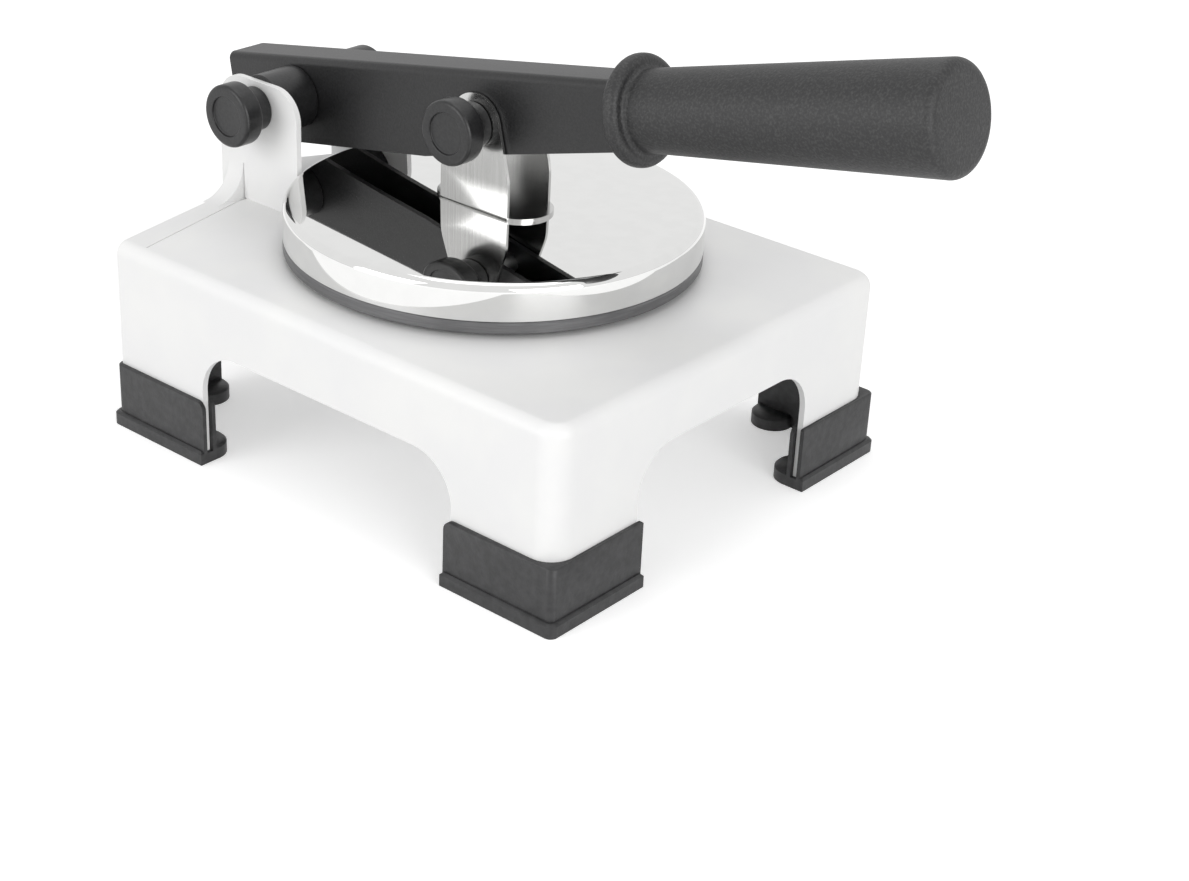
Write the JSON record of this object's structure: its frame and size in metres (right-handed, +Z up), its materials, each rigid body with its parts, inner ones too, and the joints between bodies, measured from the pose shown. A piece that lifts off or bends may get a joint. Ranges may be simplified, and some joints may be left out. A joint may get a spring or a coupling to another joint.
{
  "type": "burger press",
  "caption": "Table press that shapes meat between a fixed round plate and a steel cup hung from a hinged hand lever, on a folded sheet base with corner feet.",
  "frame": {"origin": "middle of the whole part's plan box, at the table surface under the feet", "axes": "+X along the lever from its rear pivot to its grip, +Y across the base to the side away from the knobs, +Z up"},
  "size_m": [0.2722, 0.1592, 0.1611],
  "materials": {
    "base_paint": "smooth white powder coat, satin",
    "lever_paint": "fine black powder coat, satin",
    "foot_plastic": "black moulded, lightly grained",
    "grip_plastic": "black moulded, grained",
    "knob_plastic": "black moulded, lightly grained",
    "polished_steel": "polished stainless steel",
    "brushed_steel": "brushed stainless sheet",
    "plate_steel": "plain grey steel, turned edge",
    "plain_steel": "plated steel hardware"
  },
  "bodies": {
    "base": {"base_shell": "base_paint", "rear_skirt": "base_paint", "hinge_yoke": "base_paint", "lower_plate": "plate_steel", "lower_plate_nuts": "plain_steel", "pivot_spacer_near": "knob_plastic", "pivot_spacer_far": "knob_plastic", "pivot_weld_nut": "plain_steel", "foot_front_near": "foot_plastic", "foot_front_far": "foot_plastic", "foot_rear_near": "foot_plastic", "foot_rear_far": "foot_plastic"},
    "lever": {"lever_channel": "lever_paint", "pivot_sleeve": "plain_steel", "press_sleeve": "plain_steel", "rod_saddle": "plain_steel", "grip_rod": "plain_steel", "grip": "grip_plastic"},
    "press_plate": {"press_pan": "polished_steel", "press_bracket": "brushed_steel", "press_weld_nut": "plain_steel"},
    "pivot_screw": {"pivot_knob": "knob_plastic", "pivot_bolt": "plain_steel"},
    "press_screw": {"press_knob": "knob_plastic", "press_bolt": "plain_steel"}
  },
  "joints": [
    {"name": "lever_hinge", "type": "hinge", "parent": "base", "child": "lever", "pos_m": [-0.10379, 0.00225, 0.0945], "axis": [0, -1, 0], "range_deg": [0, 75]},
    {"name": "press_plate_swing", "type": "hinge", "parent": "lever", "child": "press_plate", "pos_m": [-0.02504, 0.00225, 0.106], "axis": [0, -1, 0], "range_deg": [-2, 0]},
    {"name": "pivot_knob_turn", "type": "hinge", "parent": "base", "child": "pivot_screw", "pos_m": [-0.10379, 0.00225, 0.0945], "axis": [0, 1, 0], "continuous": true},
    {"name": "press_knob_turn", "type": "hinge", "parent": "press_plate", "child": "press_screw", "pos_m": [-0.02504, 0.00225, 0.106], "axis": [0, 1, 0], "continuous": true}
  ],
  "couplings": [
    {"joint": "press_plate_swing", "follows": "lever_hinge", "ratio": -0.024}
  ]
}
